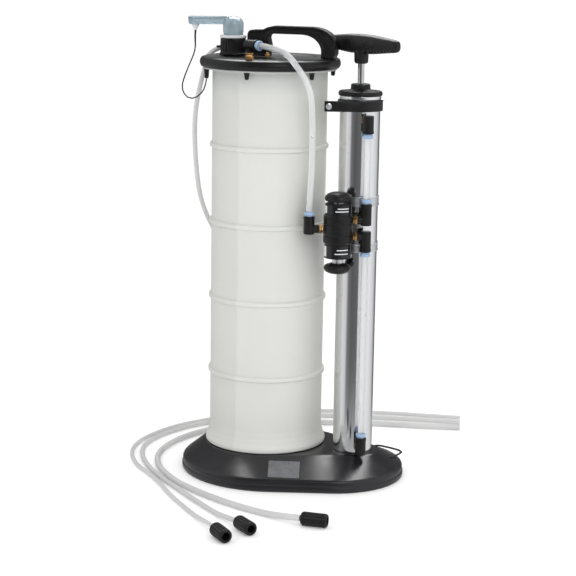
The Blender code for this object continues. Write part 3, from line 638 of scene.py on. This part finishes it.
def make_base():
    spread = 45.0
    section = [
        (spread, 2.0, 34.0), (0, 8.5, 13.0), (0, 8.5, 0.1), (0, 1.2, 0.1), (0, 0, 1.4), (0, 0, 7.4),
        (0, 1.3, 8.3), (0, 0.9, 9.2), (0, 1.1, 15.0), (0, 3.0, 17.4), (spread, -2.6, 36.7),
        (spread, 1.0, 38.0),
    ]
    bm = bmesh.new()
    rings = []
    for across, inset, height in fillet(section, 2.0, 4):
        outline = base_outline(across / spread, inset)
        rings.append([bm.verts.new((x, y, height)) for x, y in outline])
    for lower, upper in zip(rings, rings[1:]):
        for index in range(len(lower)):
            after = (index + 1) % len(lower)
            bm.faces.new((lower[index], lower[after], upper[after], upper[index]))
    bm.faces.new(rings[0])
    bm.faces.new(rings[-1])
    base = mesh_object("moulded_base", bm, sharp=50)
    slot = block("slot_cutter", (16, 4.5, 6), (96, -33, 38), (0, 0, 0.35), 1.0)
    recess = block("recess_cutter", (42.8, 33.8, 7.2))
    recess.matrix_world = label_place() @ Matrix.Translation((0, 0, 2.4 * MM))
    seat = turned("seat_cutter", [(0, 37.2), (83.6, 37.2), (83.6, 44), (0, 44)], (*TANK, 0), UP, 128, 0)
    pump_seat = turned(
        "pump_seat_cutter", [(0, 37.2), (27.4, 37.2), (27.4, 44), (0, 44)], (*PUMP, 0), UP, 96, 0,
    )
    put(combine(base, "DIFFERENCE", slot, recess, seat, pump_seat), "base_plastic", "frame", "base")


def label_place():
    out = Vector((0.149, -0.389, 0.909)).normalized()
    along = Vector((0.951, 0.310, 0.0))
    along = (along - out * along.dot(out)).normalized()
    turn = Matrix((along, out.cross(along), out)).transposed().to_4x4()
    return Matrix.Translation(Vector((21.5, -93.4, 26.2)) * MM) @ turn


make_base()


# Reservoir and lid


def make_reservoir():
    outer = [(81.4, 38.3), (83.0, 40.0), (83.0, 44.0), (80.6, 50.0), (78.6, 57.0), (TANK_R, 66.0)]
    for height in (140.2, 243.7, 347.2, 450.7):
        outer += [(TANK_R, height - 3.6), (80.4, height - 2.3), (80.4, height + 2.3), (TANK_R, height + 3.6)]
    outer += [(TANK_R, 549.8), (80.0, 552.7), (90.0, 552.7), (90.0, 555.0)]
    inner = [(75.0, 555.0), (75.0, 46.0), (72.0, 41.8), (0, 41.8)]
    tank = turned("ribbed_reservoir", [(0, 38.3), *outer, *inner], (*TANK, 0), UP, 160, 0.8, sharp=50)
    lines = []
    for turn in (-101.1, 78.9):
        spot = Vector((*TANK, 303.5)) + heading(turn) * (TANK_R - 0.2)
        lines.append(block("mould_line", (1.3, 1.5, 486), spot, (0, 0, math.radians(turn)), 0.3))
    put(combine(tank, "UNION", *lines), "tank_plastic", "frame", "reservoir")


def make_lid():
    profile = [
        (0, LID_TOP - 0.9), (62.0, LID_TOP - 0.9), (63.0, LID_TOP), (88.6, LID_TOP), (92.8, LID_TOP - 1.6),
        (94.6, LID_TOP - 5.2), (94.6, 559.4), (93.4, 557.0), (92.8, 555.5), (81.3, 555.5), (81.3, 557.6),
        (75.7, 557.6), (75.7, 555.5), (74.5, 555.5), (74.5, 549.5), (72.0, 549.5), (72.0, 563.5), (0, 563.5),
    ]
    lid = turned("round_lid", profile, (*TANK, 0), UP, 144, 0.9)
    hole = turned("neck_cutter", [(0, 550), (13.0, 550), (13.0, 580), (0, 580)], (*NECK, 0), UP, 64, 0)
    holes = [hole]
    for spot in (HOSE_PORT, (-60.0, -26.0)):
        drill = [(0, 550), (3.0, 550), (3.0, 580), (0, 580)]
        holes.append(turned("port_cutter", drill, (*spot, 0), UP, 32, 0))
    put(combine(lid, "DIFFERENCE", *holes), "black_plastic", "frame", "lid")
    for number in range(6):
        spot = Vector((*TANK, 0)) + heading(60 * number - 90) * 86.0
        tip = 539.3 if number == TETHERED_SCREW else 543.3
        peg = [(0, tip), (1.8, tip), (2.7, tip + 1.1), (3.4, 550.0), (3.4, 551.2), (4.2, 551.4), (4.2, 552.4)]
        peg += [(1.75, 552.4), (1.75, 562.5), (0, 562.5)]
        name = f"lid_screw_{number + 1}"
        put(turned(f"peg_{number + 1}", peg, spot, UP, 28, 0.3), "black_plastic", "frame", name)
    hexagon = [
        (0, LID_SEAT), (6.0, LID_SEAT), (6.0, 573.0), (4.4, 574.8), (2.0, 574.8), (2.0, 573.8),
        (0, 573.8),
    ]
    put(turned("hex_vent", hexagon, (-38.8, -83.0, 0), UP, 6, 0.25), "brass", "frame", "lid_vent")
    small = [(0, LID_SEAT), (3.4, LID_SEAT), (3.4, 573.5), (2.4, 574.2), (2.4, 576.4), (0, 576.4)]
    put(turned("small_brass_screw", small, (-34.0, -30.0, 0), UP, 24, 0.3), "brass", "frame")


def make_carry_handle():
    foot = LID_SEAT
    outline = [(-72, foot), (-42, foot), (-40, 583), (-42.5, 594)]
    outline += arc((-37, 594.5), (5.2, 5.0), 175, 90, 5)
    outline += [(5, 599.5)] + arc((5, 577.5), (28, 22), 75, 0, 12)
    outline += [(33, foot), (50, foot), (53, 576)]
    outline += arc((18, 586), (35, 24), 0, 90, 16)
    outline += [(-34, 610), (-43, 608), (-50, 604.5)]
    outline += arc((-65, 597), (7, 7), 90, 180, 6)
    handle = upright_plate("lid_handle", outline, 7.5, groove=(3.0, 1.3), bevel=1.6)
    put(handle, "black_plastic", "frame", "carry_handle")


def make_spout():
    profile = [
        (10.5, 560.5), (12.7, 560.5), (12.7, LID_SEAT), (18.3, LID_SEAT), (18.3, 571.6), (17.5, 572.2),
        (17.5, 575.0), (17.5, 580.0), (17.5, 586.0), (17.5, 588.0), (17.0, 588.6), (17.4, 589.4),
        (16.8, 591.5), (10.5, 591.5),
    ]
    neck = turned("fluted_neck", profile, (*NECK, 0), UP, 144, 0.4, (0.9, 572.6, 587.8, 6))
    side = Vector((*NECK, 580)) + heading(200) * 19.0
    tab = block("neck_tab", (7, 5, 3), side, (0, 0, LEVER_TURN), 0.7)
    put(combine(neck, "UNION", tab), "black_plastic", "frame", "spout_neck")
    ring = [(11.0, 591.8), (17.9, 591.8), (17.9, 595.7), (11.0, 595.7)]
    put(turned("neck_washer", ring, (*NECK, 0), UP, 96, 1.2), "white_rubber", "frame", "neck_gasket")


def make_spout_cap():
    seat = 596.2
    dome = [(9.9, 589.5), (10.1, seat), (13.2, seat), (13.2, seat + 2.2), (13.7, seat + 3.0)]
    for angle in range(0, 85, 7):
        turn = math.radians(angle)
        dome.append((13.9 * math.cos(turn) ** 0.8, 609.6 + 11.2 * math.sin(turn)))
    dome.append((0, 620.9))
    cavity = [(0, 586), (8.0, 586), (8.0, 597.5), (11.6, 600.0), (11.6, 608.5)]
    for angle in range(15, 85, 14):
        turn = math.radians(angle)
        cavity.append((11.6 * math.cos(turn), 608.5 + 9.6 * math.sin(turn)))
    cavity.append((0, 618.1))
    cap = turned("clear_spout_cap", [(0, 588.3), (8.8, 588.3), *dome], (*NECK, 0), UP, 80, 0)
    outline = [(9, 609.9), (58, 609.5), (60, 611.0), (61, 619.0), (60, 620.0), (9, 620.4)]
    lever = upright_plate("cap_lever", outline, 6.0, (*NECK, 0), LEVER_TURN, (1.5, 3.2), 0.7)
    cap = combine(cap, "UNION", lever)
    cutter = turned("cap_cavity", cavity, (*NECK, 0), UP, 64, 0)
    put(combine(cap, "DIFFERENCE", cutter), "clear_cap", "cap", "spout_cap")
    end = Vector((*NECK, 0)) + heading(200) * 51.0
    cone = [(0, 601.7), (2.0, 601.7), (2.4, 603.6), (3.2, 605.4), (5.2, 608.6), (5.2, 609.2), (0, 609.2)]
    put(turned("lever_plug", cone, end, UP, 40, 0.4), "white_rubber", "cap", "tether_plug")


make_reservoir()
make_lid()
make_carry_handle()
make_spout()
make_spout_cap()


# Push-fit elbows, their collars and the clear tubes between them


def on_valve(reach, height):
    return Vector((*VALVE, height)) + VALVE_SIDE * reach


def on_pump(reach, height):
    return Vector((*PUMP, height)) + PORT_SIDE * reach


# Each elbow's corner, its socket's heading and length, then its stem's heading and length.
LID_CORNER = Vector((-60.0, -26.0, 584.5))
FITTINGS = {
    "lid_elbow": (LID_CORNER, heading(-25), 13.0, DOWN, 15.2),
    "valve_elbow_left": (on_valve(-38.4, 350), UP, 16.5, VALVE_SIDE, 18.5),
    "valve_elbow_upper": (on_valve(36.4, 362.5), UP, 21.5, -VALVE_SIDE, 16.5),
    "valve_elbow_lower": (on_valve(36.4, 340.5), DOWN, 20.5, -VALVE_SIDE, 16.5),
    "top_port_elbow": (on_pump(42.3, 492.5), DOWN, 16.5, -PORT_SIDE, 15.3),
    "bottom_port_elbow": (on_pump(42.3, 48.5), UP, 16.5, -PORT_SIDE, 15.3),
}


def make_fitting(name, corner, socket, socket_length, stem, stem_length):
    body = [
        (0, -7.2), (7.2, -7.2), (7.2, socket_length - 4.2), (7.6, socket_length - 3.6),
        (7.6, socket_length),
    ]
    body += [(4.4, socket_length), (4.4, 7.5), (0, 7.5)]
    elbow = turned(f"{name}_body", body, corner, socket, 48, 1.3)
    arm_end = stem_length - 5.2
    arm = turned("arm", [(0, 0), (5.6, 0), (5.6, arm_end), (0, arm_end)], corner, stem, 48, 0.5)
    put(combine(elbow, "UNION", arm), "black_plastic", "frame", name)
    nut = [
        (0, arm_end + 0.1), (6.2, arm_end + 0.1), (6.2, arm_end + 3.0), (5.0, arm_end + 3.4),
        (5.0, stem_length), (0, stem_length),
    ]
    put(turned(f"{name}_nipple", nut, corner, stem, 6, 0.25), "brass", "frame")
    low = socket_length + 0.3
    ring = [(4.4, low), (5.5, low), (5.5, low + 1.4), (6.7, low + 2.0), (6.7, low + 5.6), (4.4, low + 5.6)]
    put(turned(f"{name}_release", ring, corner, socket, 48, 0.5), "blue_plastic", "frame", f"{name}_collar")


def make_clear_tubes():
    lid_corner, lid_side, lid_length = FITTINGS["lid_elbow"][:3]
    left_corner = FITTINGS["valve_elbow_left"][0]
    route = [lid_corner + lid_side * reach for reach in (8.0, 13.0, lid_length + 6.0, lid_length + 11.0)]
    route += [
        (-22.5, -43.5, 582.5), (-9.0, -54.3, 580.4), (5.9, -68.1, 577.6), (18.2, -78.2, 570.8),
        (28.1, -82.4, 561.0), (35.1, -80.4, 550.5), (39.5, -77.1, 540.0), (42.5, -74.5, 530.0),
        (44.0, -71.5, 515.0), (44.5, -68.0, 487.0), (43.5, -65.0, 441.0), (41.6, -63.4, 401.0),
    ]
    route += [left_corner + UP * reach for reach in (28.5, 22.5, 8.0)]
    put(
        round_bar("lid_to_valve_tube", smooth_route(route, 10), TUBE_R, 8), "clear_tube", "frame",
        "transfer_tube",
    )
    for name, first, last in (
        ("upper_pump_tube", "valve_elbow_upper", "top_port_elbow"),
        ("lower_pump_tube", "valve_elbow_lower", "bottom_port_elbow"),
    ):
        route = []
        for fitting, reaches in ((first, (8.0, 27.0)), (last, (22.0, 8.0))):
            corner, side = FITTINGS[fitting][:2]
            route += [corner + side * reach for reach in reaches]
        put(round_bar(f"{name}_run", smooth_route(route, 16), TUBE_R, 8), "clear_tube", "frame", name)


def make_hose_barb():
    post = [
        (0, LID_SEAT), (6.5, LID_SEAT), (6.5, 572.0), (6.0, 572.6), (6.0, 583.4), (4.4, 585.2),
        (0, 585.2),
    ]
    barb = turned("hose_port_fitting", post, (*HOSE_PORT, 0), UP, 48, 0.5)
    arm = [(0, 0), (4.8, 0), (4.8, 10.5), (3.4, 11.0), (3.1, 12.2), (3.1, 16.3), (0, 16.3)]
    side = turned("barb_arm", arm, (*HOSE_PORT, 578), heading(187), 40, 0.3)
    put(combine(barb, "UNION", side), "black_plastic", "frame", "hose_barb")


for elbow, facts in FITTINGS.items():
    make_fitting(elbow, *facts)
make_clear_tubes()
make_hose_barb()


# Pump


def make_pump():
    tube = [
        (0, 38.3), (PUMP_R, 38.3), (PUMP_R, 517.8), (27.6, 518.4), (27.6, 522.6), (24.7, 522.6),
        (24.7, 46.3), (0, 46.3),
    ]
    put(turned("pump_barrel", tube, (*PUMP, 0), UP, 144, 0.5), "polished_aluminium", "frame", "pump_cylinder")
    cap = [
        (4.55, 512.0), (24.4, 512.0), (24.4, 523.0), (29.2, 523.0), (29.2, 526.6), (28.0, 528.6),
        (15.6, 529.9),
        (13.2, 531.0), (12.7, 537.0), (11.6, 538.0), (8.0, 538.0), (7.4, 537.0), (4.55, 537.0),
    ]
    top = turned("pump_top_cap", cap, (*PUMP, 0), UP, 96, 0.5)
    lug = block("cap_lug", (9, 6, 9), (PUMP[0] + 4.4, -12.0, 533), (0, 0, 0.35), 1.4)
    put(combine(top, "UNION", lug), "black_plastic", "frame", "pump_cap")
    strap = turned(
        "top_strap", [(27.0, 503.0), (30.0, 503.0), (30.0, 517.0), (27.0, 517.0)], (*PUMP, 0), UP, 96,
        0.8,
    )
    front = Vector((*PUMP, 510)) + heading(-70) * 28.6
    tail = block("strap_tail", (48.0, 2.8, 14), front - VALVE_SIDE * 24.0, (0, 0, math.radians(20)), 0.9)
    pin_from = Vector((104, 22, 515.4))
    put(combine(strap, "UNION", tail), "black_plastic", "frame", "strap_clamp")
    pin = turned(
        "strap_pin", [(0, 0), (1.1, 0), (1.1, 9.5), (0, 10.4)], pin_from, Vector((0.78, 0.62, 0)), 20,
        0,
    )
    put(pin, "zinc_steel", "frame")
    seat = front - VALVE_SIDE * 42.0 + heading(-70) * 1.7
    head = [(0, 0), (4.2, 0), (4.2, 1.4), (3.2, 2.8), (1.4, 3.1), (1.2, 2.0), (0, 2.0)]
    put(turned("strap_screw_head", head, seat, heading(-70), 32, 0.3), "zinc_steel", "frame", "strap_screw")
    for name, low, high in (("band_upper", 377.0, 390.0), ("band_lower", 316.0, 328.0)):
        ring = [(27.0, low), (28.2, low), (28.2, low + 1.6), (27.7, low + 2.2), (27.7, high - 2.2)]
        ring += [(28.2, high - 1.6), (28.2, high), (27.0, high)]
        put(turned(f"{name}_steel", ring, (*PUMP, 0), UP, 96, 0.3), "zinc_steel", "frame", name)


def half_height(reach):
    """Half the grip's height at that distance from its middle."""
    marks = [(0, 13.0), (22, 12.4), (45, 10.2), (64, 8.3), (68.5, 7.2), (70.4, 5.0), (71, 0.5)]
    for (start, first), (end, last) in zip(marks, marks[1:]):
        if reach <= end:
            return first + (last - first) * (reach - start) / (end - start)
    return marks[-1][1]


def make_plunger():
    rod = [(0, 52.9), (4.25, 52.9), (4.25, 575.6), (0, 575.6)]
    put(turned("plunger_rod", rod, (*PUMP, 0), UP, 48, 0.3), "chrome", "plunger", "piston_rod")
    bm = bmesh.new()
    along, sides = heading(-30), 40
    across = UP.cross(along)
    rings = []
    places = [-71, -70.4, -69.4, -68] + [-66 + 1.5 * step for step in range(89)] + [68, 69.4, 70.4, 71]
    for place in places:
        tall = half_height(abs(place))
        ribbed = 12 < abs(place) < 62
        ring = []
        for side in range(sides):
            turn = 2 * math.pi * side / sides
            wave = 0.5 - 0.5 * math.cos(2 * math.pi * place / 6.0)
            low_side = max(0.0, 0.35 - math.sin(turn))
            depth = 1 - (0.11 * wave * min(1.0, low_side) if ribbed else 0.0)
            square = (abs(math.cos(turn)) ** 2.6 + abs(math.sin(turn)) ** 2.6) ** (-1 / 2.6)
            lift = tall * depth * square * math.sin(turn)
            out = 0.74 * tall * depth * square * math.cos(turn)
            ring.append(bm.verts.new(Vector((*PUMP, 590.0)) + along * place + across * out + UP * lift))
        rings.append(ring)
    for lower, upper in zip(rings, rings[1:]):
        for side in range(sides):
            after = (side + 1) % sides
            bm.faces.new((lower[side], lower[after], upper[after], upper[side]))
    bm.faces.new(rings[0])
    bm.faces.new(rings[-1])
    grip = mesh_object("t_grip", bm, sharp=60)
    hub = [
        (0, 576.0), (4.55, 576.0), (4.55, 564.4), (7.4, 564.4), (9.2, 566.4), (9.6, 579.0),
        (8.0, 588.0), (0, 588.0),
    ]
    stalk = turned("hub", hub, (*PUMP, 0), UP, 48, 0.8)
    put(combine(grip, "UNION", stalk), "black_plastic", "plunger", "t_handle")


def make_valve():
    body = [
        (7.3, 312.0), (17.6, 312.0), (17.6, 331.2), (18.6, 332.0), (19.6, 333.4), (19.6, 341.0),
        (19.1, 341.4), (19.1, 342.6), (19.6, 343.0), (19.6, 357.0), (19.1, 357.4), (19.1, 358.6),
        (19.6, 359.0),
        (19.6, 367.6), (18.6, 369.0), (17.6, 369.8), (17.6, 384.5), (7.3, 384.5),
    ]
    put(turned("spool_valve_body", body, (*VALVE, 0), UP, 96, 0.5), "black_plastic", "frame", "valve_body")
    for name, low, high in (("upper_label", 371.4, 383.0), ("lower_label", 314.0, 329.6)):
        put(
            curved_patch(f"{name}_film", 17.66, 17.84, -150, 5, low, high), "label_film", "frame",
            finish="valve_film",
        )
        # Painted highlight: a white patch on the left of each label, where the glossy film would shine.
        put(curved_patch(f"{name}_painted_highlight", 17.86, 18.0, -148, -128, low + 1, high - 1), "white_rubber", "frame")
        for number, share in enumerate((0.30, 0.62)):
            z = low + (high - low) * share
            stripe = curved_patch(
                f"{name}_stripe_{number + 1}", 17.86, 18.0, -84 + 9 * number, -24, z, z + 1.3,
            )
            put(stripe, "white_rubber", "frame")
    lower = [
        (0, 290.0), (6.0, 290.3), (11.0, 291.4), (15.6, 293.6), (17.8, 296.2), (18.3, 298.6),
        (17.6, 300.6),
    ]
    lower += [(15.6, 302.6), (9.0, 304.7), (0, 304.7)]
    put(
        turned("lower_push_knob", lower, (*VALVE, 0), UP, 80, 0.5), "black_plastic", "valve_shuttle",
        "valve_knob_bottom",
    )
    upper = [
        (0, 386.6), (9.0, 386.6), (16.4, 387.4), (18.2, 389.0), (18.4, 391.6), (17.4, 394.4),
        (14.4, 397.2),
    ]
    upper += [(9.6, 398.9), (5.0, 399.5), (0, 399.6)]
    put(
        turned("upper_push_knob", upper, (*VALVE, 0), UP, 80, 0.5), "black_plastic", "valve_shuttle",
        "valve_knob_top",
    )


def curved_patch(name, inner, outer, start, end, low, high):
    """A thin patch that follows the valve's round end, used for label film, stripes and a painted highlight.
    """
    bm = bmesh.new()
    count = 14
    columns = []
    for index in range(count + 1):
        side = heading(start + (end - start) * index / count)
        middle = Vector((*VALVE, 0))
        column = [middle + side * inner + UP * low, middle + side * outer + UP * low]
        column += [middle + side * outer + UP * high, middle + side * inner + UP * high]
        columns.append([bm.verts.new(point) for point in column])
    for left, right in zip(columns, columns[1:]):
        for index in range(4):
            after = (index + 1) % 4
            bm.faces.new((left[index], right[index], right[after], left[after]))
    bm.faces.new(columns[0])
    bm.faces.new(columns[-1])
    return mesh_object(name, bm)


def make_wire_loop():
    route = [
        (108, 28, 35.5), (115, 33, 35.8), (122.5, 40, 33), (129, 51, 28.5), (135, 62, 23.5),
        (138.5, 64, 21.5), (140, 58, 21.5), (140, 44, 22.6), (139.5, 28, 24.8), (138.5, 15, 25.4),
    ]
    put(round_bar("wire_loop", smooth_route(route, 6), 1.3, 4), "black_rubber", "frame")


make_pump()
make_plunger()
make_valve()
make_wire_loop()


# What stays from the CAD takes the same finishes

SLOT_OF = {entry["node"]: entry["material_slot"] for entry in frame["record"]["subparts"]}
for node, solid in frame["nodes"].items():
    solid.data.materials.clear()
    solid.data.materials.append(MATERIALS[SLOT_OF[node]])


# Floor, light and what the metal reflects


def area_light(name, at, towards, size, power):
    data = bpy.data.lights.new(name, "AREA")
    data.shape = "RECTANGLE"
    data.size, data.size_y = size
    data.energy = power
    light = bpy.data.objects.new(name, data)
    light.location = at
    light.rotation_euler = (Vector(towards) - Vector(at)).to_track_quat("-Z", "Y").to_euler()
    bpy.context.scene.collection.objects.link(light)
    return light


def studio_world():
    """White all round, with bands that only gloss reflects, tuned to the photographed cylinder's tones."""
    world = bpy.data.worlds.new("studio")
    world.use_nodes = True
    tree = world.node_tree
    add, join = tree.nodes.new, tree.links.new
    plain = tree.nodes["Background"]
    plain.inputs["Color"].default_value = (1.0, 1.0, 1.0, 1.0)
    plain.inputs["Strength"].default_value = 1.0
    where, parts = add("ShaderNodeTexCoord"), add("ShaderNodeSeparateXYZ")
    join(where.outputs["Generated"], parts.inputs["Vector"])
    around = add("ShaderNodeMath")
    around.operation = "ARCTAN2"
    join(parts.outputs["Y"], around.inputs[0])
    join(parts.outputs["X"], around.inputs[1])
    turn = add("ShaderNodeMapRange")
    turn.inputs["From Min"].default_value = -math.pi
    turn.inputs["From Max"].default_value = math.pi
    join(around.outputs["Value"], turn.inputs["Value"])
    bands = add("ShaderNodeValToRGB")
    # Degrees anticlockwise from +X, and how light the surroundings are there
    stops = [
        (-180, 0.68), (-150, 0.80), (-130, 0.70), (-117, 0.18), (-95, 0.10), (-64, 0.14), (-50, 0.36),
        (-36, 0.72), (-22, 0.82), (12, 0.86), (46, 0.66), (72, 0.16), (140, 0.14), (165, 0.52), (180, 0.68),
    ]
    elements = bands.color_ramp.elements
    while len(elements) < len(stops):
        elements.new(0.5)
    for element, (degrees, value) in zip(elements, stops):
        element.position = (degrees + 180) / 360
        element.color = (value, value, value * 1.02, 1.0)
    join(turn.outputs["Result"], bands.inputs["Fac"])
    steep = add("ShaderNodeMapRange")
    steep.inputs["From Min"].default_value = -0.255
    steep.inputs["From Max"].default_value = -0.315
    join(parts.outputs["Z"], steep.inputs["Value"])
    faded = add("ShaderNodeMix")
    faded.data_type = "RGBA"
    faded.inputs[7].default_value = (0.74, 0.74, 0.75, 1.0)
    join(steep.outputs["Result"], faded.inputs[0])
    join(bands.outputs["Color"], faded.inputs[6])
    banded, mixed, ray = add("ShaderNodeBackground"), add("ShaderNodeMixShader"), add("ShaderNodeLightPath")
    join(faded.outputs[2], banded.inputs["Color"])
    join(ray.outputs["Is Glossy Ray"], mixed.inputs["Fac"])
    join(plain.outputs["Background"], mixed.inputs[1])
    join(banded.outputs["Background"], mixed.inputs[2])
    join(mixed.outputs["Shader"], tree.nodes["World Output"].inputs["Surface"])
    bpy.context.scene.world = world


def make_studio():
    bm = bmesh.new()
    bmesh.ops.create_grid(bm, x_segments=8, y_segments=8, size=40000.0)
    floor = mesh_object("studio_floor", bm)
    white = surface(
        "floor_white", (0.90, 0.90, 0.90), (0.92, 0.92, 0.92), (0.7, 0.8), None, 0.5,
        Emission_Color=(1.0, 1.0, 1.0, 1.0), Emission_Strength=0.17
    )
    floor.data.materials.append(white)
    floor.visible_glossy = False
    studio_world()
    area_light("key_light", (1.5, -2.1, 1.5), (0, 0, 0.3), (1.2, 1.2), 13)
    glint = area_light("glint_light", (-0.2, 0.85, 1.9), (0, 0, 0.1), (1.5, 1.5), 52)
    glint.visible_diffuse = False
    bpy.context.scene.view_settings.view_transform = "Standard"


make_studio()
